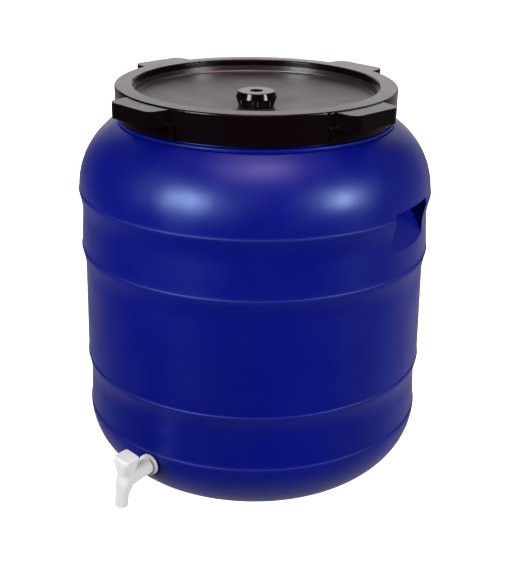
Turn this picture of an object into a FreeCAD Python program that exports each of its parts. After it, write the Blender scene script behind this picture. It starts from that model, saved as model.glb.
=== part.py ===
import FreeCAD, Part
import math
import os
from FreeCAD import Placement, Rotation, Vector

# A wide-mouth storage drum of about 45 litres, with a screw ring, a dished inner lid, a vent cap
# and a drain tap. Lengths are in millimetres and angles in degrees. The origin is on the drum's
# axis, in the plane that it stands on. The tap points midway between -X and -Y, and the two hand
# grips stand a quarter turn to each side of it.

# Drum body
WALL = 3.2
CREASE_R = (200.0, 199.6, 198.6, 198.0)      # moulded rings round the wall, top one first
CREASE_Z = (320.0, 255.0, 121.5, 57.7)
CREASE_DROP = 4.0                            # how far the wall steps in under a ring
CREASE_FALL = 19.0                           # over what height it does so
CREASE_BLEND = 60.0
CREASE_BEAD = 0.8                            # how far a ring's edge stands out of the wall
CREASE_BEAD_RISE = 1.5
CREASE_ROUND = 1.0
SHOULDER_ROUND = 85.0
BASE_ROUND = 73.5
FOOT_WIDTH = 8.0
PUSH_UP = 8.0                                # how far the middle of the base stands clear
PUSH_SLOPE = 14.0
NECK_R = 149.0
NECK_HEIGHT = 25.4                           # above its collar
COLLAR_WIDTH = 5.6                           # small bead where the neck leaves the shoulder
COLLAR_HEIGHT = 4.03
COLLAR_NOTCH = 1.2                           # groove under the collar
COLLAR_NOTCH_RISE = 0.2
COLLAR_R = NECK_R + COLLAR_WIDTH
SHOULDER_CENTRE_R = CREASE_R[0] - SHOULDER_ROUND
COLLAR_FOOT_IN = COLLAR_R + COLLAR_NOTCH - SHOULDER_CENTRE_R
COLLAR_FOOT = CREASE_Z[0] + math.sqrt(SHOULDER_ROUND ** 2 - COLLAR_FOOT_IN ** 2)
COLLAR_TOP = COLLAR_FOOT + COLLAR_HEIGHT
NECK_TOP = COLLAR_TOP + NECK_HEIGHT
RIM_ROUND = 1.0                              # at the edges of the collar and the neck
SEAM_ANGLE = 80.0                            # turns the seam of round faces away from grips and lugs

# Hand grips, one on each side
GRIP_ANGLE = -42.6
GRIP_RISE = 8.0                              # its ceiling above the top ring
GRIP_HEIGHT = 47.0
GRIP_DEPTH = 29.0
GRIP_WIDTH = 73.0
GRIP_BACK_ROUND = 4.0
GRIP_TOP = CREASE_Z[0] + GRIP_RISE
GRIP_BOTTOM = GRIP_TOP - GRIP_HEIGHT

# Thread between the neck and the screw ring
THREAD_LEAD = 12.0
THREAD_DEPTH = 2.7
THREAD_ROOT = 4.5                            # width of a ridge at the wall
THREAD_CREST = 2.5
THREAD_CLEAR = 1.1                           # from a crest to the wall that it faces
THREAD_DROP = 4.6                            # how far the ring's ridge lies under the neck's
THREAD_SINK = 1.0                            # how deep a ridge is rooted in its wall
THREAD_START = 20.0                          # direction in which the neck's ridge starts
NECK_THREAD_RISE = 6.4                       # from the collar to the middle of the ridge's start
NECK_THREAD_SPARE = 2.8                      # and from the middle of its end to the neck's top
NECK_THREAD_LOW = COLLAR_TOP + NECK_THREAD_RISE
NECK_THREAD_TURNS = (NECK_HEIGHT - NECK_THREAD_RISE - NECK_THREAD_SPARE) / THREAD_LEAD
RING_THREAD_TURNS = 1.0
RING_THREAD_LIFT = 0.4                       # from the ring's lower edge to its ridge

# Screw ring, over the gasket and the inner lid
RING_WALL = 3.2
RING_FLANGE = 4.3
RING_R = NECK_R + THREAD_DEPTH + THREAD_CLEAR + RING_WALL
RING_FOOT_GAP = 3.4                          # from the collar to its lower edge
RING_OVERHANG = 13.0                         # how far its flange reaches in from the neck's wall
RING_OPENING_R = NECK_R - RING_OVERHANG
RING_LIP = 2.2                               # lip at the opening, below the flange
RING_LIP_WIDTH = 2.6
RING_EDGE = 2.0
RING_FOOT_ROUND = 1.0
RING_TURN = -56.5                            # where the first lug stands when the ring is tight
LUG_COUNT = 4
LUG_REACH = RING_R + 21.0
LUG_HALF = 33.0
LUG_FLARE = 3.0                              # how much wider its root is, on each side
LUG_ROOT_HALF = LUG_HALF + LUG_FLARE
LUG_CORNER = 10.0
LUG_ROOT_ROUND = 5.0
LUG_HEIGHT = 16.5
LUG_DROP = 1.2                               # its top lies this much below the ring's
LUG_SKIN = 3.0
LUG_CORE_ROUND = 2.0
LUG_ROOTED = 6.0                             # how deep its root lies in the ring
LUG_SPREAD = 12.0                            # and how far it spreads there, on each side
PAD_THICK = 2.4                              # thicker stretch of skirt under each lug
PAD_BEYOND = 6.0                             # how far it reaches past the lug's root
PAD_OVERLAP = 1.0
SNAP_BEAD = 1.1                              # bead that keeps the inner lid in the ring

# Inner lid
LID_SKIN = 3.2
LID_OVERHANG = 1.6
LID_FLANGE_R = NECK_R + LID_OVERHANG
LID_DISH_INSET = 2.0
LID_DISH_R = RING_OPENING_R - LID_DISH_INSET
LID_LEDGE_GAP = 0.2                          # under the ring's lip
LID_DISH_DROP = 13.7                         # from the ring's top to the rim of the disc
LID_MIDDLE_DROP = 26.0                       # and to its middle
LID_LAND_R = 30.0
LID_RIB_COUNT = 8
LID_RIB_HEIGHT = 6.0
LID_RIB_THICK = 3.0
LID_RIB_START = 6.0                          # how far inside the flat middle its ribs start
LID_RIB_SINK = 0.5
LID_ROUND = 1.5
GASKET_THICK = 2.5
GASKET_PLAY = 1.1                            # from the lid's step to the gasket
GASKET_INSET = 0.2
RING_TOP = NECK_TOP + GASKET_THICK + LID_SKIN + RING_FLANGE
RING_HEIGHT = RING_TOP - COLLAR_TOP - RING_FOOT_GAP
SPOUT_R = 14.0
SPOUT_WALL = 3.5
SPOUT_HEIGHT = 9.5
SPOUT_ROOT_ROUND = 0.8
SPOUT_RIM_ROUND = 0.5

# Vent cap
CAP_CLEAR = 2.0                              # from the spout to the cap's bore
CAP_WALL = 3.6
CAP_FLARE = 3.4                              # how far its rim stands out past its foot
CAP_DRAFT = 2.8                              # and how far its top lies inside the rim
CAP_BORE_R = SPOUT_R + CAP_CLEAR
CAP_FOOT_R = CAP_BORE_R + CAP_WALL
CAP_RIM_R = CAP_FOOT_R + CAP_FLARE
CAP_TOP_R = CAP_RIM_R - CAP_DRAFT
CAP_RIM_HEIGHT = 9.8
CAP_RIM_ROUND = 1.2
CAP_EDGE_ROUND = 1.0
CAP_GAP = 0.4                                # between its foot and the lid
CAP_SKIN = 2.0                               # over the liner, under the dimple
CAP_DIMPLE_R = 7.0
CAP_DIMPLE_DEPTH = 4.0
CAP_DIMPLE_ROUND = 0.8
FLUTE_COUNT = 8
FLUTE_R = 6.0
FLUTE_DEPTH = 3.0
LINER_THICK = 1.5
LINER_OVERHANG = 0.8

# Drain tap, seated on a flat pad of the wall
TAP_ANGLE = -135.0
TAP_Z = 42.9
TAP_LEAN = -7.8                              # how far it stands turned on its own arm
TAP_PAD_DROP = 2.0                           # how far the pad lies inside the lowest ring
TAP_PAD_EDGE = 2.8                           # how far it reaches past the flange
TAP_PAD_REACH = 14.0                         # how far its boss and its clearance are drawn
TAP_FACE = CREASE_R[-1] - TAP_PAD_DROP       # distance of the pad from the drum's axis
TAP_FLANGE_R = 12.2
TAP_FLANGE_THICK = 4.2
TAP_FLANGE_ROUND = 0.8
TAP_ARM_R = 9.0
TAP_TAIL_R = 8.0
TAP_TAIL_LENGTH = 22.0
TAP_PASSAGE_R = 5.0
TAP_BARREL_R = 9.6
TAP_BARREL_X = 42.9
TAP_BARREL_TOP = 9.5
TAP_BARREL_FOOT = -6.0
TAP_DOME = 1.3                               # how far the barrel draws in towards its top
TAP_DOME_HEIGHT = 9.0
TAP_DOME_ROUND = 14.0
TAP_SPOUT_OFFSET = 1.9
TAP_SPOUT_R = 7.4
TAP_SPOUT_START = -15.0
TAP_SPOUT_END = -31.4
TAP_SPOUT_ROUND = 0.6
TAP_BEND_R = 17.0                            # bend of the pipe from the arm into the spout
PLUG_R = 6.45
PLUG_FOOT = -8.8
PLUG_PORT_R = 3.8
PLUG_BEAD = 0.45                             # snap bead near the plug's foot
PLUG_BEAD_Z = -6.9
PLUG_BEAD_HALF = 0.6
HEAD_WAIST = 17.0
HEAD_WAIST_ROUND = 8.2
HEAD_SIDE = 20.9
HEAD_ROUND = 3.6
HEAD_TURN = -4.0
HEAD_WAIST_TOP = 11.0
HEAD_FLARE_MIDDLE = 18.0
HEAD_FLARE_TOP = 26.0
HEAD_MIDDLE_SIDE = 18.8
HEAD_MIDDLE_ROUND = 6.0
HEAD_TOP = 32.6
HEAD_EDGE = 2.2
O_RING_SECTION = 1.5
O_RING_Z = 6.4
WASHER_THICK = 1.8
OUTER_WASHER_INSET = 1.2
INNER_WASHER_INSET = 1.5
NUT_ACROSS_FLATS = 22.0
NUT_THICK = 8.0
NUT_CHAMFER = 1.2

# Clearances
RUNNING = 0.05                               # radial, round a turning plug or on a thread
LOOSE = 0.3                                  # between pieces that must not bind
FREE = 0.4

UP = Vector(0, 0, 1)
ORIGIN = Vector(0, 0, 0)


def side(a, b):
    """Point of a section that is drawn in the XZ plane: distance from the axis, height."""
    return Vector(a, 0, b)


def plan(a, b):
    """Point of a section that is drawn in the XY plane."""
    return Vector(a, b, 0)


def outline(corners, place):
    """Closed face through corners (a, b, round), with tangent arcs where round is not 0.

    A corner given as (a, b, 0, radius) is reached by an arc of that radius; a positive
    radius bulges to the right of the way from the last corner.
    """
    count = len(corners)
    points = [place(c[0], c[1]) for c in corners]
    arrive = list(points)
    leave = list(points)
    bends = [None] * count
    for i in range(count):
        if corners[i][2] > 0:
            to_last = (points[i - 1] - points[i]).normalize()
            to_next = (points[(i + 1) % count] - points[i]).normalize()
            half = to_last.getAngle(to_next) / 2
            reach = corners[i][2] / math.tan(half)
            arrive[i] = points[i] + to_last * reach
            leave[i] = points[i] + to_next * reach
            inwards = (to_last + to_next).normalize()
            centre = points[i] + inwards * (corners[i][2] / math.sin(half))
            bends[i] = centre - inwards * corners[i][2]
    edges = []
    for i in range(count):
        start = leave[i - 1]
        end = arrive[i]
        if len(corners[i]) > 3:
            edges.append(Part.Arc(start, arc_middle(start, end, corners[i][3], place), end).toShape())
        elif start.distanceToPoint(end) > 0.001:
            edges.append(Part.makeLine(start, end))
        if bends[i] is not None:
            edges.append(Part.Arc(arrive[i], bends[i], leave[i]).toShape())
    return Part.Face(Part.Wire(edges))


def arc_middle(start, end, radius, place):
    """Middle point of the short arc of this radius between two points."""
    chord = end - start
    normal = place(0, 1).cross(place(1, 0)).normalize()
    rightwards = chord.cross(normal).normalize() * -1
    sag = abs(radius) - math.sqrt(radius ** 2 - (chord.Length / 2) ** 2)
    return (start + end) * 0.5 + rightwards * math.copysign(sag, radius)


def turned(corners):
    """Solid of revolution about the drum's axis."""
    solid = outline(corners, side).revolve(ORIGIN, UP, 360)
    solid.rotate(ORIGIN, UP, SEAM_ANGLE)
    return solid


def tube(outer, inner, low, high):
    """Upright tube between two heights."""
    body = Part.makeCylinder(outer, high - low, Vector(0, 0, low))
    return body.cut(Part.makeCylinder(inner, high - low, Vector(0, 0, low)))


def around(solid, count, first=0.0):
    """Copies of a solid spaced evenly round the drum's axis."""
    copies = []
    for i in range(count):
        one = solid.copy()
        one.rotate(ORIGIN, UP, first + i * 360.0 / count)
        copies.append(one)
    return copies


def joined(first, others):
    """One solid made of several that overlap or touch."""
    return first.multiFuse(others).removeSplitter()


def thread_ridge(wall_r, depth, low, turns, start):
    """Right-hand helical ridge on a round wall, outwards where depth is positive.

    low is the height of the ridge's middle where it starts, and start is that direction.
    """
    base_r = wall_r - math.copysign(THREAD_SINK, depth)
    taper = (THREAD_ROOT - THREAD_CREST) / 2 / abs(depth)
    base = THREAD_ROOT / 2 + taper * THREAD_SINK
    crest = THREAD_CREST / 2
    corners = [
        side(base_r, -base), side(wall_r + depth, -crest), side(wall_r + depth, crest), side(base_r, base),
    ]
    sweep = Part.BRepOffsetAPI.MakePipeShell(Part.makeHelix(THREAD_LEAD, THREAD_LEAD * turns, base_r))
    sweep.setBiNormalMode(UP)
    sweep.add(Part.makePolygon(corners + corners[:1]))
    sweep.build()
    sweep.makeSolid()
    ridge = sweep.shape()
    ridge.translate(Vector(0, 0, low))
    ridge.rotate(ORIGIN, UP, start)
    return ridge


# Drum body

def base_arc_r(height, inset):
    """Distance from the axis of the rounded heel, inset by a wall, at a height."""
    centre = CREASE_R[-1] - BASE_ROUND
    return centre + math.sqrt((BASE_ROUND - inset) ** 2 - (height - CREASE_Z[-1]) ** 2)


def shoulder_z(radius, inset):
    """Height of the shoulder, inset by a wall, at a distance from the axis."""
    return CREASE_Z[0] + math.sqrt((SHOULDER_ROUND - inset) ** 2 - (radius - SHOULDER_CENTRE_R) ** 2)


def wall_corners(inset):
    """Base, wall and rings up to the top ring, moved inwards by inset."""
    foot = base_arc_r(0, 0)
    heel = base_arc_r(inset, inset)
    corners = [
        (0, PUSH_UP + inset, 0),
        (foot - FOOT_WIDTH - PUSH_SLOPE, PUSH_UP + inset, 6),
        (foot - FOOT_WIDTH, inset, 3),
        (heel, inset, 0),
        (CREASE_R[-1] - inset, CREASE_Z[-1], 0, BASE_ROUND - inset),
    ]
    if inset == 0:
        corners.append((CREASE_R[-1] - CREASE_BEAD, CREASE_Z[-1] + CREASE_BEAD_RISE, CREASE_ROUND))
    for i in range(len(CREASE_R) - 2, -1, -1):
        corners.append((CREASE_R[i] - CREASE_DROP - inset, CREASE_Z[i] - CREASE_FALL, CREASE_BLEND))
        if inset == 0:
            last_round = CREASE_ROUND if i > 0 else 0
            corners.append((CREASE_R[i], CREASE_Z[i], CREASE_ROUND))
            corners.append((CREASE_R[i] - CREASE_BEAD, CREASE_Z[i] + CREASE_BEAD_RISE, last_round))
        else:
            corners.append((CREASE_R[i] - CREASE_BEAD - inset, CREASE_Z[i], 0))
    return corners


def drum_outside():
    corners = wall_corners(0)
    corners += [
        (COLLAR_R + COLLAR_NOTCH, COLLAR_FOOT, 0, SHOULDER_ROUND),
        (COLLAR_R - COLLAR_NOTCH, COLLAR_FOOT + COLLAR_NOTCH_RISE, 0),
        (COLLAR_R, COLLAR_FOOT + COLLAR_NOTCH, 0),
        (COLLAR_R, COLLAR_TOP, RIM_ROUND),
        (NECK_R, COLLAR_TOP, RIM_ROUND),
        (NECK_R, NECK_TOP, RIM_ROUND),
        (0, NECK_TOP, 0),
    ]
    return turned(corners)


def drum_inside():
    bore = NECK_R - WALL
    corners = wall_corners(WALL)
    corners += [
        (bore, shoulder_z(bore, WALL), 0, SHOULDER_ROUND - WALL),
        (bore, NECK_TOP + 1, 0),
        (0, NECK_TOP + 1, 0),
    ]
    return turned(corners)


def grip_wedge(inset):
    """Finger pocket drawn at +X, larger by inset: a level ceiling over a floor that slopes in."""
    slope = math.atan2(GRIP_DEPTH, GRIP_TOP - GRIP_BOTTOM)
    outer = CREASE_R[0] + 10
    edge_r = CREASE_R[0] - CREASE_DROP / 2 - inset * math.cos(slope)
    edge_z = GRIP_BOTTOM - inset * math.sin(slope)
    ceiling = GRIP_TOP + inset
    back = edge_r - (ceiling - edge_z) * math.tan(slope)
    low = edge_z - (outer - edge_r) / math.tan(slope)
    half = GRIP_WIDTH / 2 + inset
    face = outline([(back, ceiling, GRIP_BACK_ROUND), (outer, low, 0), (outer, ceiling, 0)], side)
    wedge = face.extrude(Vector(0, 2 * half, 0))
    wedge.translate(Vector(0, -half, 0))
    return wedge


def tap_place():
    """Places a piece drawn with +X along the tap's arm, from the face of the pad."""
    turn = Rotation(UP, TAP_ANGLE).multiply(Rotation(Vector(1, 0, 0), TAP_LEAN))
    away = Rotation(UP, TAP_ANGLE).multVec(Vector(TAP_FACE, 0, 0))
    return Placement(away + Vector(0, 0, TAP_Z), turn)


def put_on_tap(solid):
    solid.Placement = tap_place()
    return solid


def arm_cylinder(radius, start, end):
    """Round bar along the tap's arm, between two distances from the pad's face."""
    return Part.makeCylinder(radius, end - start, Vector(start, 0, 0), Vector(1, 0, 0))


def make_drum_body():
    pad_r = TAP_FLANGE_R + TAP_PAD_EDGE
    shell = drum_outside()
    shell = shell.fuse(put_on_tap(arm_cylinder(pad_r, -TAP_PAD_REACH, 0)))
    shell = shell.cut(put_on_tap(arm_cylinder(pad_r, 0, TAP_PAD_REACH)))
    hollow = drum_inside()
    hollow = hollow.fuse(put_on_tap(arm_cylinder(pad_r - WALL / 2, -TAP_PAD_REACH, -WALL)))
    hollow = hollow.cut(put_on_tap(arm_cylinder(pad_r + WALL, -WALL, TAP_PAD_REACH)))
    for pocket in around(grip_wedge(0), 2, GRIP_ANGLE):
        shell = shell.cut(pocket)
    for pocket in around(grip_wedge(WALL), 2, GRIP_ANGLE):
        hollow = hollow.cut(pocket)
    hole = put_on_tap(arm_cylinder(TAP_TAIL_R + LOOSE, -TAP_PAD_REACH, TAP_PAD_REACH))
    body = shell.cut(hollow).cut(hole)
    ridge = thread_ridge(NECK_R, THREAD_DEPTH, NECK_THREAD_LOW, NECK_THREAD_TURNS, THREAD_START)
    return joined(body, [ridge])


# Screw ring

def lug_outline(inset):
    """Plan of a lug that points along +X, smaller by inset."""
    root = math.sqrt(RING_R ** 2 - LUG_ROOT_HALF ** 2)
    half = LUG_HALF - inset
    if inset > 0:
        inner = RING_R + inset
        return outline([
            (inner, -half, LUG_CORE_ROUND), (LUG_REACH - inset, -half, LUG_CORNER - inset),
            (LUG_REACH - inset, half, LUG_CORNER - inset), (inner, half, LUG_CORE_ROUND),
        ], plan)
    deep = root - LUG_ROOTED
    wide = LUG_ROOT_HALF + LUG_SPREAD
    return outline([
        (deep, -wide, 0), (root, -LUG_ROOT_HALF, LUG_ROOT_ROUND),
        (LUG_REACH, -half, LUG_CORNER), (LUG_REACH, half, LUG_CORNER),
        (root, LUG_ROOT_HALF, LUG_ROOT_ROUND), (deep, wide, 0),
    ], plan)


def make_lug():
    """Hollow grip lug with a web in the middle, open below."""
    top = RING_TOP - LUG_DROP
    lug = lug_outline(0).extrude(Vector(0, 0, LUG_HEIGHT))
    lug.translate(Vector(0, 0, top - LUG_HEIGHT))
    core = lug_outline(LUG_SKIN).extrude(Vector(0, 0, LUG_HEIGHT - LUG_SKIN))
    core.translate(Vector(0, 0, top - LUG_HEIGHT))
    web = Part.makeBox(LUG_REACH - RING_R, LUG_SKIN, LUG_HEIGHT, Vector(RING_R, -LUG_SKIN / 2, top - LUG_HEIGHT))
    return lug.cut(core.cut(web))


def make_skirt_pad():
    """Thicker stretch of the ring's skirt below a lug."""
    low = RING_TOP - RING_HEIGHT
    high = RING_TOP - LUG_DROP - LUG_HEIGHT + PAD_OVERLAP
    inner = RING_R - RING_WALL / 2
    outer = RING_R + PAD_THICK
    half_angle = math.degrees(math.asin((LUG_ROOT_HALF + PAD_BEYOND) / outer))
    face = outline([(inner, low, 0), (outer, low, 0), (outer, high, 0), (inner, high, 0)], side)
    pad = face.revolve(ORIGIN, UP, 2 * half_angle)
    pad.rotate(ORIGIN, UP, -half_angle)
    return pad


def make_screw_ring():
    skirt_in = RING_R - RING_WALL
    under = RING_TOP - RING_FLANGE
    bead_r = NECK_R + FREE
    bead_z = under - LID_SKIN - LOOSE
    low = RING_TOP - RING_HEIGHT
    ring = turned([
        (RING_OPENING_R, under - RING_LIP, 0),
        (RING_OPENING_R + RING_LIP_WIDTH, under - RING_LIP, 0),
        (RING_OPENING_R + RING_LIP_WIDTH, under, 0),
        (skirt_in, under, 0),
        (skirt_in, bead_z, 0),
        (bead_r, bead_z, 0),
        (bead_r, bead_z - SNAP_BEAD, 0),
        (skirt_in, bead_z - SNAP_BEAD - (skirt_in - bead_r), 0),
        (skirt_in, low, 0),
        (RING_R, low, RING_FOOT_ROUND),
        (RING_R, RING_TOP, RING_EDGE),
        (RING_OPENING_R, RING_TOP, RING_EDGE),
    ])
    clear = Part.makeCylinder(skirt_in, RING_HEIGHT, Vector(0, 0, low))
    extras = []
    for piece in around(make_lug(), LUG_COUNT, RING_TURN) + around(make_skirt_pad(), LUG_COUNT, RING_TURN):
        extras.append(piece.cut(clear))
    start_z = low + THREAD_ROOT / 2 + RING_THREAD_LIFT
    climb = start_z + THREAD_DROP - NECK_THREAD_LOW
    start = THREAD_START + climb / THREAD_LEAD * 360
    ridge = thread_ridge(skirt_in, -THREAD_DEPTH, start_z, RING_THREAD_TURNS, start)
    return joined(joined(ring, extras), [ridge])


# Inner lid, gasket, vent cap and liner

def lid_middle_z():
    return RING_TOP - LID_MIDDLE_DROP


def lid_step_r():
    """Inner radius of the lid's step up to its flange, round the ring's lip."""
    return RING_OPENING_R + RING_LIP_WIDTH + LOOSE


def make_inner_lid():
    flange_top = RING_TOP - RING_FLANGE
    ledge = flange_top - RING_LIP - LID_LEDGE_GAP
    rim = RING_TOP - LID_DISH_DROP
    middle = lid_middle_z()
    lip_out = lid_step_r()
    bore = SPOUT_R - SPOUT_WALL
    spout_top = middle + SPOUT_HEIGHT
    lid = turned([
        (bore, middle - LID_SKIN, 0),
        (LID_LAND_R, middle - LID_SKIN, 0),
        (LID_DISH_R + LID_SKIN, rim - LID_SKIN, LID_ROUND),
        (LID_DISH_R + LID_SKIN, ledge - LID_SKIN, 0),
        (lip_out + LID_SKIN, ledge - LID_SKIN, 0),
        (lip_out + LID_SKIN, flange_top - LID_SKIN, 0),
        (LID_FLANGE_R, flange_top - LID_SKIN, 0),
        (LID_FLANGE_R, flange_top, 0),
        (lip_out, flange_top, 0),
        (lip_out, ledge, 0),
        (LID_DISH_R, ledge, 0),
        (LID_DISH_R, rim, LID_ROUND),
        (LID_LAND_R, middle, 0),
        (SPOUT_R, middle, SPOUT_ROOT_ROUND),
        (SPOUT_R, spout_top, SPOUT_RIM_ROUND),
        (bore, spout_top, 0),
    ])
    start = LID_LAND_R - LID_RIB_START
    end = LID_DISH_R
    under = middle - LID_SKIN
    half = LID_RIB_THICK / 2
    rise = (rim - middle) * (end - LID_LAND_R) / (LID_DISH_R + LID_SKIN - LID_LAND_R)
    face = outline([
        (start, under - LID_RIB_HEIGHT, 0), (LID_LAND_R, under - LID_RIB_HEIGHT, 0),
        (end, under - LID_RIB_HEIGHT + rise, 0), (end, under + rise + LID_RIB_SINK, 0),
        (LID_LAND_R, under + LID_RIB_SINK, 0), (start, under + LID_RIB_SINK, 0),
    ], side)
    rib = face.extrude(Vector(0, LID_RIB_THICK, 0))
    rib.translate(Vector(0, -half, 0))
    return joined(lid, around(rib, LID_RIB_COUNT, SEAM_ANGLE / 2))


def make_lid_gasket():
    inner = lid_step_r() + LID_SKIN + GASKET_PLAY
    return tube(NECK_R - GASKET_INSET, inner, NECK_TOP, NECK_TOP + GASKET_THICK)


def make_vent_liner():
    low = lid_middle_z() + SPOUT_HEIGHT
    return Part.makeCylinder(SPOUT_R + LINER_OVERHANG, LINER_THICK, Vector(0, 0, low))


def make_vent_cap():
    foot = lid_middle_z() + CAP_GAP
    rim = foot + CAP_RIM_HEIGHT
    ceiling = lid_middle_z() + SPOUT_HEIGHT + LINER_THICK
    dimple = ceiling + CAP_SKIN
    top = dimple + CAP_DIMPLE_DEPTH
    cap = turned([
        (0, ceiling, 0), (CAP_BORE_R, ceiling, 0), (CAP_BORE_R, foot, 0),
        (CAP_FOOT_R, foot, CAP_EDGE_ROUND), (CAP_RIM_R, rim, CAP_RIM_ROUND), (CAP_TOP_R, top, CAP_EDGE_ROUND),
        (CAP_DIMPLE_R, top, CAP_DIMPLE_ROUND), (CAP_DIMPLE_R, dimple, 0), (0, dimple, 0),
    ])
    centre = CAP_RIM_R + FLUTE_R - FLUTE_DEPTH
    flute = Part.makeCylinder(FLUTE_R, rim - foot, Vector(centre, 0, foot - CAP_EDGE_ROUND))
    for cutter in around(flute, FLUTE_COUNT, RING_TURN):
        cap = cap.cut(cutter)
    return cap


# Drain tap

def upright(radius, low, high, x=0.0):
    return Part.makeCylinder(radius, high - low, Vector(x, 0, low))


def circle_at(radius, x, height):
    return Part.Wire(Part.makeCircle(radius, Vector(x, 0, height), UP))


def barrel_outside():
    """Barrel round the plug, drawn in towards its top, down to where the spout starts."""
    shoulder = TAP_BARREL_TOP - TAP_DOME_HEIGHT
    face = outline([
        (0, TAP_BARREL_FOOT, 0), (TAP_BARREL_R, TAP_BARREL_FOOT, 0),
        (TAP_BARREL_R, shoulder, TAP_DOME_ROUND), (TAP_BARREL_R - TAP_DOME, TAP_BARREL_TOP, 0),
        (0, TAP_BARREL_TOP, 0),
    ], side)
    barrel = face.revolve(ORIGIN, UP, 360)
    barrel.translate(Vector(TAP_BARREL_X, 0, 0))
    return barrel


def make_tap_body():
    flange_face = WASHER_THICK + TAP_FLANGE_THICK
    spout_x = TAP_BARREL_X + TAP_SPOUT_OFFSET
    flange = arm_cylinder(TAP_FLANGE_R, WASHER_THICK, flange_face)
    rim = [e for e in flange.Edges if abs(e.CenterOfMass.x - flange_face) < 0.01]
    flange = flange.makeFillet(TAP_FLANGE_ROUND, rim)
    tail = arm_cylinder(TAP_TAIL_R, -TAP_TAIL_LENGTH, flange_face)
    arm = arm_cylinder(TAP_ARM_R, WASHER_THICK, TAP_BARREL_X)
    elbow = Part.makeLoft([
        circle_at(TAP_BARREL_R, TAP_BARREL_X, TAP_BARREL_FOOT),
        circle_at(TAP_SPOUT_R, spout_x, TAP_SPOUT_START),
    ], True)
    spout = upright(TAP_SPOUT_R, TAP_SPOUT_END, TAP_SPOUT_START, spout_x)
    lip = [e for e in spout.Edges if abs(e.CenterOfMass.z - TAP_SPOUT_END) < 0.01]
    spout = spout.makeFillet(TAP_SPOUT_ROUND, lip)
    body = joined(flange, [tail, arm, barrel_outside(), elbow, spout, spout_bend(spout_x)])
    bore_r = PLUG_R + RUNNING
    groove_r = bore_r + PLUG_BEAD + RUNNING
    groove_half = PLUG_BEAD_HALF + LOOSE
    plug_end = PLUG_FOOT - LOOSE
    cuts = [
        upright(bore_r, plug_end, TAP_BARREL_TOP, TAP_BARREL_X),
        upright(groove_r, PLUG_BEAD_Z - groove_half, PLUG_BEAD_Z + groove_half, TAP_BARREL_X),
        arm_cylinder(TAP_PASSAGE_R, -TAP_TAIL_LENGTH, TAP_BARREL_X),
        Part.makeLoft([
            circle_at(PLUG_PORT_R, TAP_BARREL_X, plug_end),
            circle_at(TAP_PASSAGE_R, spout_x, TAP_SPOUT_START),
        ], True),
        upright(TAP_PASSAGE_R, TAP_SPOUT_END, TAP_SPOUT_START, spout_x),
    ]
    for cutter in cuts:
        body = body.cut(cutter)
    return put_on_tap(body)


def spout_bend(spout_x):
    """Quarter bend that carries the arm's pipe down into the spout."""
    section = Part.Face(circle_at(TAP_SPOUT_R, spout_x, -TAP_BEND_R))
    return section.revolve(Vector(spout_x - TAP_BEND_R, 0, -TAP_BEND_R), Vector(0, -1, 0), 90)


def rounded_square(width, corner, height):
    """Face of the tap's head at a height, turned as the head stands."""
    half = width / 2
    face = outline([(-half, -half, corner), (half, -half, corner), (half, half, corner),
                    (-half, half, corner)], plan)
    face.rotate(ORIGIN, UP, HEAD_TURN)
    face.translate(Vector(TAP_BARREL_X, 0, height))
    return face


def make_tap_handle():
    seat = TAP_BARREL_TOP + LOOSE
    stem = upright(PLUG_R, PLUG_FOOT, seat + 1, TAP_BARREL_X)
    bead = upright(PLUG_R + PLUG_BEAD, PLUG_BEAD_Z - PLUG_BEAD_HALF, PLUG_BEAD_Z + PLUG_BEAD_HALF, TAP_BARREL_X)
    waist = rounded_square(HEAD_WAIST, HEAD_WAIST_ROUND, seat).extrude(Vector(0, 0, HEAD_WAIST_TOP - seat))
    flare = Part.makeLoft([
        rounded_square(HEAD_WAIST, HEAD_WAIST_ROUND, HEAD_WAIST_TOP).OuterWire,
        rounded_square(HEAD_MIDDLE_SIDE, HEAD_MIDDLE_ROUND, HEAD_FLARE_MIDDLE).OuterWire,
        rounded_square(HEAD_SIDE, HEAD_ROUND, HEAD_FLARE_TOP).OuterWire,
    ], True)
    top = rounded_square(HEAD_SIDE, HEAD_ROUND, HEAD_FLARE_TOP).extrude(Vector(0, 0, HEAD_TOP - HEAD_FLARE_TOP))
    top = top.makeFillet(HEAD_EDGE, [e for e in top.Edges if abs(e.BoundBox.ZMin - HEAD_TOP) < 0.01])
    handle = joined(stem, [bead, waist, flare, top])
    depth = O_RING_SECTION + 2 * RUNNING
    groove = upright(PLUG_R + 1, O_RING_Z - depth / 2, O_RING_Z + depth / 2, TAP_BARREL_X)
    groove = groove.cut(upright(PLUG_R - O_RING_SECTION, O_RING_Z - depth, O_RING_Z + depth, TAP_BARREL_X))
    port = Part.makeCylinder(PLUG_PORT_R, PLUG_R + 1, Vector(TAP_BARREL_X, 0, 0), Vector(0, 1, 0))
    drop = upright(PLUG_PORT_R, PLUG_FOOT, 0, TAP_BARREL_X)
    return put_on_tap(handle.cut(groove).cut(port).cut(drop))


def make_plug_o_ring():
    half = O_RING_SECTION / 2
    ring = Part.makeTorus(PLUG_R - half, half, Vector(TAP_BARREL_X, 0, O_RING_Z))
    return put_on_tap(ring)


def make_tap_washer(start, end, radius):
    washer = arm_cylinder(radius, start, end)
    return put_on_tap(washer.cut(arm_cylinder(TAP_TAIL_R + LOOSE, start - 1, end + 1)))


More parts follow.
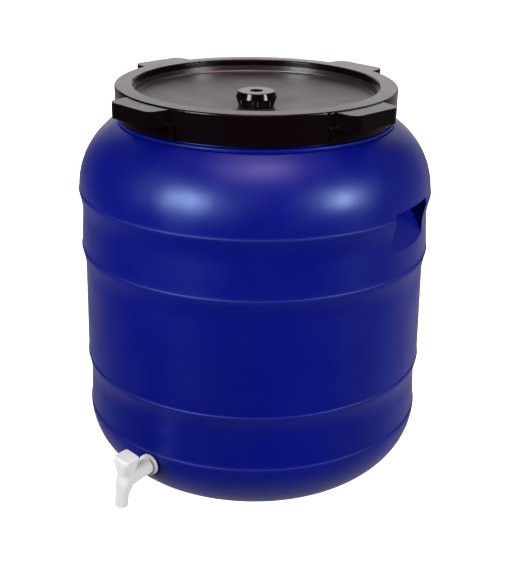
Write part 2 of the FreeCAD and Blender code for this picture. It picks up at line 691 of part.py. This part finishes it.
def make_tap_nut():
    outer = -WALL - WASHER_THICK
    radius = NUT_ACROSS_FLATS / 2 / math.cos(math.radians(30))
    corners = []
    for i in range(6):
        angle = math.radians(60 * i)
        corners.append((radius * math.cos(angle), radius * math.sin(angle), 0))
    nut = outline(corners, lambda a, b: Vector(outer, a, b)).extrude(Vector(-NUT_THICK, 0, 0))
    chamfer = Part.makeCone(
        radius + NUT_CHAMFER, radius - NUT_CHAMFER, NUT_THICK, Vector(outer, 0, 0), Vector(-1, 0, 0))
    nut = nut.common(chamfer)
    return put_on_tap(nut.cut(arm_cylinder(TAP_TAIL_R + RUNNING, outer - NUT_THICK - 1, outer + 1)))


def main():
    inner_seat = -WALL - WASHER_THICK
    pieces = {
        "drum_body": make_drum_body(),
        "screw_ring": make_screw_ring(),
        "inner_lid": make_inner_lid(),
        "lid_gasket": make_lid_gasket(),
        "vent_cap": make_vent_cap(),
        "vent_liner": make_vent_liner(),
        "tap_body": make_tap_body(),
        "tap_handle": make_tap_handle(),
        "plug_o_ring": make_plug_o_ring(),
        "tap_outer_washer": make_tap_washer(0, WASHER_THICK, TAP_FLANGE_R - OUTER_WASHER_INSET),
        "tap_inner_washer": make_tap_washer(inner_seat, -WALL, TAP_FLANGE_R - INNER_WASHER_INSET),
        "tap_nut": make_tap_nut(),
    }
    os.makedirs("parts", exist_ok=True)
    for name, shape in pieces.items():
        shape.exportStep("parts/" + name + ".step")
        print(name, "solids", len(shape.Solids), "valid", shape.isValid(), "litres", round(shape.Volume / 1e6, 4))
    print("drum holds", round(drum_inside().Volume / 1e6, 1), "litres to the brim")


main()
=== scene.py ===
"""Dresses a wide-mouth storage drum: satin blue wall, black screw lid, white drain tap."""
import math

import bmesh
import bpy
from bpy.props import FloatProperty, FloatVectorProperty, PointerProperty
from mathutils import Matrix, Vector


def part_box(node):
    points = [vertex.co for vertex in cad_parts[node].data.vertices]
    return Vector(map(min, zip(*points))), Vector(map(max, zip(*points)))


bl_info = {
    "name": "Storage drum",
    "version": (1, 0, 0),
    "blender": (4, 5, 0),
    "location": "View3D > Sidebar > Drum",
    "description": "Finishes and a studio for a wide-mouth storage drum",
    "category": "Object",
}

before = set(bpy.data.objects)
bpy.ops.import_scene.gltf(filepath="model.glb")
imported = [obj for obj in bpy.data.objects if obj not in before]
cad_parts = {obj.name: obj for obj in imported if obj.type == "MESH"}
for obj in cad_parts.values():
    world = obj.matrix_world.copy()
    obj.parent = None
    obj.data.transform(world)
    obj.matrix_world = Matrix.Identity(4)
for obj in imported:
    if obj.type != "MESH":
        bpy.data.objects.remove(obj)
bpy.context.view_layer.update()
RING_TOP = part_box("screw_ring")[1][2]

# Heights of the wall's four rings, and half the height of the dull band on each.
WALL_RINGS = (0.0577, 0.1215, 0.255, 0.320)
DULL_BAND_HALF = 0.0035

# The lid's rim is glossier than its disc, and starts this far under the top of the screw ring.
LID_RIM_DEPTH = 0.0132
LID_RIM_FADE = 0.002

# The photograph's longer side in pixels, and the sensor's along it in millimetres.
PHOTO_HEIGHT = 588
SENSOR_WIDTH = 36.0

FLOOR_RADIUS = 4.0

# Lowest and highest roughness in the patches of a plastic, as shares of its own.
PATCH_LOW, PATCH_HIGH = 0.88, 1.14

# Dust makes a seal's colour this many times as light, and adds this much.
DUST_SHARE, DUST_PALE = 1.8, 0.01

# Lamps round the drum. The angle is in degrees to the camera's right, and aim is the height on
# the drum's axis that a lamp is turned to. One with glossy or diffuse False leaves that light out.
LAMPS = (
    dict(name="left_softbox", angle=-44, reach=1.7, height=1.06, size=0.6, power=50),
    dict(name="right_softbox", angle=57, reach=1.9, height=1.13, size=0.5, power=42),
    dict(name="floor_bounce", angle=0, reach=0, height=-1.2, size=1.6, power=16, glossy=False),
    dict(name="back_softbox", angle=180, reach=2.0, height=0.9, size=0.9, power=32, glossy=False),
    dict(name="top_glow", angle=6, reach=0.45, height=1.9, size=0.8, power=24, diffuse=False,
         colour=(1.0, 0.56, 0.6)),
    dict(name="low_fill", angle=60, reach=1.4, height=0.05, aim=0.2, size=0.5, power=7,
         glossy=False),
    dict(name="low_fill_left", angle=-40, reach=1.4, height=0.05, aim=0.2, size=0.5, power=3,
         glossy=False),
)


class DrumColours(bpy.types.PropertyGroup):
    """Colours and roughness of the drum's plastics and seals."""

    body: FloatVectorProperty(
        name="Body", description="Blue of the blow-moulded wall",
        subtype="COLOR", size=3, min=0, max=1, default=(0.0008, 0.0026, 0.115))
    body_sheen: FloatVectorProperty(
        name="Body sheen", description="Tint of the wall's highlights",
        subtype="COLOR", size=3, min=0, max=1, default=(0.45, 0.63, 1.0))
    body_roughness: FloatProperty(
        name="Body roughness", description="How far the wall spreads a highlight",
        subtype="FACTOR", min=0, max=1, default=0.36)
    worn_roughness: FloatProperty(
        name="Worn roughness", description="Roughness of the dull band on each ring of the wall",
        subtype="FACTOR", min=0, max=1, default=0.62)
    ring: FloatVectorProperty(
        name="Ring", description="Black of the screw ring and the vent cap",
        subtype="COLOR", size=3, min=0, max=1, default=(0.0022, 0.0008, 0.0014))
    ring_roughness: FloatProperty(
        name="Ring roughness", description="How far the ring spreads a highlight",
        subtype="FACTOR", min=0, max=1, default=0.2)
    cap_roughness: FloatProperty(
        name="Cap roughness", description="How far the vent cap spreads a highlight",
        subtype="FACTOR", min=0, max=1, default=0.13)
    lid: FloatVectorProperty(
        name="Lid", description="Black of the dished lid",
        subtype="COLOR", size=3, min=0, max=1, default=(0.0110, 0.0078, 0.0078))
    lid_roughness: FloatProperty(
        name="Lid roughness", description="How far the lid's disc spreads a highlight",
        subtype="FACTOR", min=0, max=1, default=0.4)
    lid_rim_roughness: FloatProperty(
        name="Lid rim roughness", description="How far the lid's rim spreads a highlight",
        subtype="FACTOR", min=0, max=1, default=0.24)
    tap: FloatVectorProperty(
        name="Tap", description="White of the tap",
        subtype="COLOR", size=3, min=0, max=1, default=(0.53, 0.528, 0.52))
    tap_roughness: FloatProperty(
        name="Tap roughness", description="How far the tap spreads a highlight",
        subtype="FACTOR", min=0, max=1, default=0.42)
    rubber: FloatVectorProperty(
        name="Rubber", description="Black of the tap's seals",
        subtype="COLOR", size=3, min=0, max=1, default=(0.02, 0.02, 0.02))
    gasket: FloatVectorProperty(
        name="Gasket", description="Grey of the lid's gasket",
        subtype="COLOR", size=3, min=0, max=1, default=(0.2, 0.2, 0.205))
    liner: FloatVectorProperty(
        name="Liner", description="Off-white of the vent cap's liner",
        subtype="COLOR", size=3, min=0, max=1, default=(0.6, 0.6, 0.58))


class DrumStudio(bpy.types.PropertyGroup):
    """Camera and room light."""

    turn: FloatProperty(
        name="Turn", description="How far the camera stands to the left of -Y",
        subtype="ANGLE", default=math.radians(10.1))
    distance: FloatProperty(
        name="Distance", description="Level distance from the camera to the drum's axis",
        subtype="DISTANCE", default=1.156)
    height: FloatProperty(
        name="Height", description="Camera above the top of the screw ring",
        subtype="DISTANCE", default=0.237)
    pitch: FloatProperty(
        name="Pitch", description="How far the camera looks down",
        subtype="ANGLE", default=math.radians(23.01))
    aside: FloatProperty(
        name="Aside", description="How far it looks to the right of the axis",
        subtype="ANGLE", default=math.radians(0.515))
    roll: FloatProperty(
        name="Roll", description="Camera roll",
        subtype="ANGLE", default=math.radians(0.929))
    focal_px: FloatProperty(
        name="Focal length", description="Focal length in pixels of the photograph",
        subtype="PIXEL", default=1047.2)
    backdrop: FloatProperty(
        name="Backdrop", description="Brightness that the camera sees behind the drum",
        default=1.1)
    back_light: FloatProperty(
        name="Back light", description="Brightness of the wall behind the drum",
        default=1.15)
    floor_light: FloatProperty(
        name="Floor light", description="Brightness of the floor behind the drum",
        default=0.43)
    room_light: FloatProperty(
        name="Room light", description="Brightness of the rest of the room",
        default=0.045)
    room_colour: FloatVectorProperty(
        name="Room colour", description="Tint of the room's light",
        subtype="COLOR", size=3, min=0, max=1, default=(1, 0.95, 0.95))


def set_inputs(node, values):
    """Sets a node's sockets by name."""
    for socket, value in values.items():
        node.inputs[socket].default_value = value


def finish(name):
    """New material with its node tree emptied to a shader and an output."""
    material = bpy.data.materials.new(name)
    material.use_nodes = True
    nodes = material.node_tree.nodes
    nodes.clear()
    shader = nodes.new("ShaderNodeBsdfPrincipled")
    output = nodes.new("ShaderNodeOutputMaterial")
    material.node_tree.links.new(shader.outputs["BSDF"], output.inputs["Surface"])
    return material


def shader_of(material):
    """The material's Principled shader."""
    return next(node for node in material.node_tree.nodes if node.type == "BSDF_PRINCIPLED")


def noise(material, scale, detail, stretch=(1, 1, 1)):
    """Noise on Object coordinates, stretched along the axes."""
    tree = material.node_tree
    place = tree.nodes.new("ShaderNodeTexCoord")
    mapping = tree.nodes.new("ShaderNodeMapping")
    set_inputs(mapping, {"Scale": stretch})
    texture = tree.nodes.new("ShaderNodeTexNoise")
    set_inputs(texture, {"Scale": scale, "Detail": detail})
    tree.links.new(place.outputs["Object"], mapping.inputs["Vector"])
    tree.links.new(mapping.outputs["Vector"], texture.inputs["Vector"])
    return texture.outputs["Fac"]


def spread(tree, factor, low, high, start=0.3, end=0.7, easing="LINEAR"):
    """Number from low to high as the factor goes from start to end, a noise's usual range."""
    ramp = tree.nodes.new("ShaderNodeMapRange")
    ramp.interpolation_type = easing
    set_inputs(ramp, {"From Min": start, "From Max": end, "To Min": low, "To Max": high})
    tree.links.new(factor, ramp.inputs["Value"])
    return ramp.outputs["Result"]


def blend_colours(material, factor, first, second):
    """Colour between two as the factor goes from 0 to 1."""
    mix = material.node_tree.nodes.new("ShaderNodeMix")
    mix.data_type = "RGBA"
    set_inputs(mix, {"A": (*first, 1), "B": (*second, 1)})
    material.node_tree.links.new(factor, mix.inputs["Factor"])
    return mix.outputs["Result"]


def blend_numbers(tree, factor, first, second):
    """Number that goes from a socket's to a fixed one as the factor goes from 0 to 1."""
    mix = tree.nodes.new("ShaderNodeMix")
    set_inputs(mix, {"B": second})
    tree.links.new(factor, mix.inputs["Factor"])
    tree.links.new(first, mix.inputs["A"])
    return mix.outputs["Result"]


def emboss(material, factor, depth, last=None):
    """Bump of this depth in metres, on top of the last one."""
    tree = material.node_tree
    bump = tree.nodes.new("ShaderNodeBump")
    set_inputs(bump, {"Strength": 1.0, "Distance": depth})
    tree.links.new(factor, bump.inputs["Height"])
    if last is not None:
        tree.links.new(last, bump.inputs["Normal"])
    tree.links.new(bump.outputs["Normal"], shader_of(material).inputs["Normal"])
    return bump.outputs["Normal"]


def moulded_plastic(name, colour, roughness, mottle, grain, ripple=0.0, gloss=0.5):
    """Plastic with faint colour flow, uneven gloss and a fine moulded grain."""
    material = finish(name)
    tree = material.node_tree
    shader = shader_of(material)
    flow = noise(material, scale=9.0, detail=3.0, stretch=(1, 1, 0.35))
    darker = [channel * (1 - mottle) for channel in colour]
    lighter = [min(1, channel * (1 + mottle)) for channel in colour]
    mottled = blend_colours(material, spread(tree, flow, 0, 1), darker, lighter)
    tree.links.new(mottled, shader.inputs["Base Color"])
    patches = noise(material, scale=26.0, detail=5.0)
    uneven = spread(tree, patches, low=roughness * PATCH_LOW, high=roughness * PATCH_HIGH)
    tree.links.new(uneven, shader.inputs["Roughness"])
    set_inputs(shader, {"IOR": 1.5, "Specular IOR Level": gloss})
    last = emboss(material, noise(material, scale=1400.0, detail=2.0), grain)
    if ripple:
        swell = noise(material, scale=7.0, detail=1.0, stretch=(1, 1, 0.5))
        emboss(material, swell, ripple, last)
    return material


def height_on(material):
    """Height above the drum's foot, from Object coordinates."""
    tree = material.node_tree
    place = tree.nodes.new("ShaderNodeTexCoord")
    parts = tree.nodes.new("ShaderNodeSeparateXYZ")
    tree.links.new(place.outputs["Object"], parts.inputs["Vector"])
    return parts.outputs["Z"]


def change_roughness(material, where, roughness):
    """Gives a plastic another roughness where a number is 1, and blends to it below."""
    tree = material.node_tree
    socket = shader_of(material).inputs["Roughness"]
    changed = blend_numbers(tree, where, socket.links[0].from_socket, roughness)
    tree.links.new(changed, socket)


def polish_above(material, height, fade, roughness):
    """Makes a plastic glossier above a height, over a fade."""
    rise = spread(material.node_tree, height_on(material), 0, 1, height, height + fade)
    change_roughness(material, rise, roughness)


def dull_bands(material, heights, half, roughness):
    """Makes level bands of a plastic less glossy, as the worn edges of the wall's rings are."""
    tree = material.node_tree
    black, white = (0, 0, 0, 1), (1, 1, 1, 1)
    level = height_on(material)
    ramp = tree.nodes.new("ShaderNodeValToRGB")
    stops = ramp.color_ramp.elements
    stops[0].color = black
    stops[1].color = black
    for height in heights:
        for offset, shade in ((-half, black), (-half / 2, white), (half / 2, white), (half, black)):
            stops.new(height + offset).color = shade
    tree.links.new(level, ramp.inputs["Fac"])
    change_roughness(material, ramp.outputs["Color"], roughness)


def rubber(name, colour):
    """Matt seal rubber with a dusty bloom."""
    material = finish(name)
    tree = material.node_tree
    shader = shader_of(material)
    dust = spread(tree, noise(material, scale=180.0, detail=6.0), 0, 1)
    dusty = [channel * DUST_SHARE + DUST_PALE for channel in colour]
    tree.links.new(blend_colours(material, dust, colour, dusty), shader.inputs["Base Color"])
    tree.links.new(spread(tree, dust, low=0.6, high=0.8), shader.inputs["Roughness"])
    emboss(material, noise(material, scale=900.0, detail=3.0), depth=0.00004)
    return material


def coat(material, *nodes):
    """Gives CAD nodes one material."""
    for node in nodes:
        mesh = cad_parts[node].data
        mesh.materials.clear()
        mesh.materials.append(material)


class DRUM_OT_body(bpy.types.Operator):
    """Satin blue polyethylene on the blow-moulded wall"""

    bl_idname = "drum.body"
    bl_label = "Drum body"

    def execute(self, context):
        look = context.scene.drum_colours
        wall = moulded_plastic(
            "blue_wall", look.body, look.body_roughness,
            mottle=0.1, grain=0.00002, ripple=0.0012, gloss=0.35)
        set_inputs(shader_of(wall), {"Specular Tint": (*look.body_sheen, 1)})
        dull_bands(wall, WALL_RINGS, DULL_BAND_HALF, look.worn_roughness)
        coat(wall, "drum_body")
        return {"FINISHED"}


class DRUM_OT_ring(bpy.types.Operator):
    """Glossy black on the screw ring"""

    bl_idname = "drum.ring"
    bl_label = "Screw ring"

    def execute(self, context):
        look = context.scene.drum_colours
        ring = moulded_plastic(
            "black_ring", look.ring, look.ring_roughness, mottle=0.15, grain=0.00001, gloss=0.12)
        coat(ring, "screw_ring")
        return {"FINISHED"}


class DRUM_OT_lid(bpy.types.Operator):
    """Satin black on the dished lid, gloss on its vent cap, and the two seals"""

    bl_idname = "drum.lid"
    bl_label = "Lid and vent cap"

    def execute(self, context):
        look = context.scene.drum_colours
        lid = moulded_plastic(
            "black_lid", look.lid, look.lid_roughness, mottle=0.15, grain=0.00002, gloss=1.0)
        polish_above(lid, RING_TOP - LID_RIM_DEPTH, LID_RIM_FADE, look.lid_rim_roughness)
        coat(lid, "inner_lid")
        cap = moulded_plastic(
            "black_cap", look.ring, look.cap_roughness, mottle=0.1, grain=0.00001, gloss=0.2)
        coat(cap, "vent_cap")
        coat(rubber("grey_gasket", look.gasket), "lid_gasket")
        coat(rubber("pale_liner", look.liner), "vent_liner")
        return {"FINISHED"}


class DRUM_OT_tap(bpy.types.Operator):
    """White polyethylene on the tap, and its seals"""

    bl_idname = "drum.tap"
    bl_label = "Drain tap"

    def execute(self, context):
        look = context.scene.drum_colours
        white = moulded_plastic(
            "white_tap", look.tap, look.tap_roughness, mottle=0.03, grain=0.00002)
        set_inputs(shader_of(white), {
            "Subsurface Weight": 0.25, "Subsurface Radius": (0.004, 0.004, 0.003)})
        coat(white, "tap_body", "tap_handle", "tap_nut")
        seal = rubber("black_seal", look.rubber)
        coat(seal, "tap_outer_washer", "tap_inner_washer", "plug_o_ring")
        return {"FINISHED"}


def lay_floor(scene):
    """White paper disc under the drum, which glows so that it shows no edge."""
    shape = bmesh.new()
    bmesh.ops.create_circle(shape, cap_ends=True, segments=96, radius=FLOOR_RADIUS)
    mesh = bpy.data.meshes.new("floor")
    shape.to_mesh(mesh)
    shape.free()
    floor = bpy.data.objects.new("floor", mesh)
    scene.collection.objects.link(floor)
    paper = finish("white_paper")
    set_inputs(shader_of(paper), {
        "Base Color": (0.9, 0.9, 0.9, 1), "Roughness": 0.9,
        "Emission Color": (1, 1, 1, 1), "Emission Strength": 1.0})
    mesh.materials.append(paper)
    floor.visible_diffuse = False
    floor.visible_glossy = False
    floor.visible_shadow = False


def brighter_towards(scene, aside, lift, start, end, low, high):
    """World brightness from low to high away from the camera, aside to its right and lifted."""
    tree = scene.world.node_tree
    turn = scene.drum_studio.turn + math.radians(aside)
    spot = tree.nodes.new("ShaderNodeTexCoord")
    along = tree.nodes.new("ShaderNodeVectorMath")
    along.operation = "DOT_PRODUCT"
    along.inputs[1].default_value = (math.sin(turn), math.cos(turn), lift)
    tree.links.new(spot.outputs["Generated"], along.inputs[0])
    return spread(tree, along.outputs["Value"], low, high, start, end, easing="SMOOTHSTEP")


def light_room(scene):
    """A bright wall and floor behind the drum in a dim room, and a white backdrop in view."""
    studio = scene.drum_studio
    world = bpy.data.worlds.new("studio")
    scene.world = world
    world.use_nodes = True
    tree = world.node_tree
    sky = tree.nodes["Background"]
    set_inputs(sky, {"Color": (*studio.room_colour, 1)})
    wall = brighter_towards(
        scene, aside=0, lift=0.35, start=0.84, end=1.03,
        low=studio.room_light, high=studio.back_light)
    ground = brighter_towards(
        scene, aside=16, lift=-1.2, start=0.1, end=1.4, low=0, high=studio.floor_light)
    both = tree.nodes.new("ShaderNodeMath")
    both.operation = "ADD"
    tree.links.new(wall, both.inputs[0])
    tree.links.new(ground, both.inputs[1])
    path = tree.nodes.new("ShaderNodeLightPath")
    seen = blend_numbers(
        tree, path.outputs["Is Camera Ray"], both.outputs["Value"], studio.backdrop)
    tree.links.new(seen, sky.inputs["Strength"])


def hang_lamp(scene, name, angle, reach, height, size, power,
              aim=0.3, colour=(1, 1, 1), diffuse=True, glossy=True):
    """Square softbox at an angle to the camera's right, turned to a height on the drum's axis."""
    data = bpy.data.lights.new(name, "AREA")
    data.size = size
    data.energy = power
    data.color = colour
    lamp = bpy.data.objects.new(name, data)
    around = math.radians(angle) - scene.drum_studio.turn
    spot = Vector((math.sin(around) * reach, -math.cos(around) * reach, height))
    lamp.location = spot
    lamp.rotation_euler = (Vector((0, 0, aim)) - spot).to_track_quat("-Z", "Y").to_euler()
    lamp.visible_diffuse = diffuse
    lamp.visible_glossy = glossy
    scene.collection.objects.link(lamp)


def place_camera(scene):
    """Camera where the photograph was taken from."""
    studio = scene.drum_studio
    data = bpy.data.cameras.new("camera")
    data.sensor_width = SENSOR_WIDTH
    data.lens = studio.focal_px * SENSOR_WIDTH / PHOTO_HEIGHT
    data.clip_start = 0.05
    data.clip_end = 50
    camera = bpy.data.objects.new("camera", data)
    spot = Vector((-math.sin(studio.turn), -math.cos(studio.turn), 0)) * studio.distance
    spot.z = RING_TOP + studio.height
    turn = Matrix.Rotation(-studio.turn - studio.aside, 4, "Z")
    tilt = Matrix.Rotation(math.pi / 2 - studio.pitch, 4, "X")
    roll = Matrix.Rotation(studio.roll, 4, "Z")
    camera.matrix_world = Matrix.Translation(spot) @ turn @ tilt @ roll
    scene.collection.objects.link(camera)
    scene.camera = camera


class DRUM_OT_stage(bpy.types.Operator):
    """White floor, room light, lamps and the camera"""

    bl_idname = "drum.stage"
    bl_label = "Studio"

    def execute(self, context):
        scene = context.scene
        lay_floor(scene)
        light_room(scene)
        for lamp in LAMPS:
            hang_lamp(scene, **lamp)
        place_camera(scene)
        scene.view_settings.view_transform = "Standard"
        return {"FINISHED"}


class DRUM_PT_panel(bpy.types.Panel):
    """Lists the drum's colours, its studio and its operators"""

    bl_idname = "DRUM_PT_panel"
    bl_label = "Storage drum"
    bl_space_type = "VIEW_3D"
    bl_region_type = "UI"
    bl_category = "Drum"

    def draw(self, context):
        scene = context.scene
        for group in (scene.drum_colours, scene.drum_studio):
            for name in type(group).__annotations__:
                self.layout.prop(group, name)
        for operator in OPERATORS:
            self.layout.operator(operator.bl_idname)


OPERATORS = (DRUM_OT_body, DRUM_OT_ring, DRUM_OT_lid, DRUM_OT_tap, DRUM_OT_stage)
CLASSES = (DrumColours, DrumStudio) + OPERATORS + (DRUM_PT_panel,)


def register():
    for cls in CLASSES:
        bpy.utils.register_class(cls)
    bpy.types.Scene.drum_colours = PointerProperty(type=DrumColours)
    bpy.types.Scene.drum_studio = PointerProperty(type=DrumStudio)


def unregister():
    del bpy.types.Scene.drum_studio
    del bpy.types.Scene.drum_colours
    for cls in reversed(CLASSES):
        bpy.utils.unregister_class(cls)


def main():
    register()
    bpy.ops.drum.body()
    bpy.ops.drum.ring()
    bpy.ops.drum.lid()
    bpy.ops.drum.tap()
    bpy.ops.drum.stage()


if __name__ == "__main__":
    main()
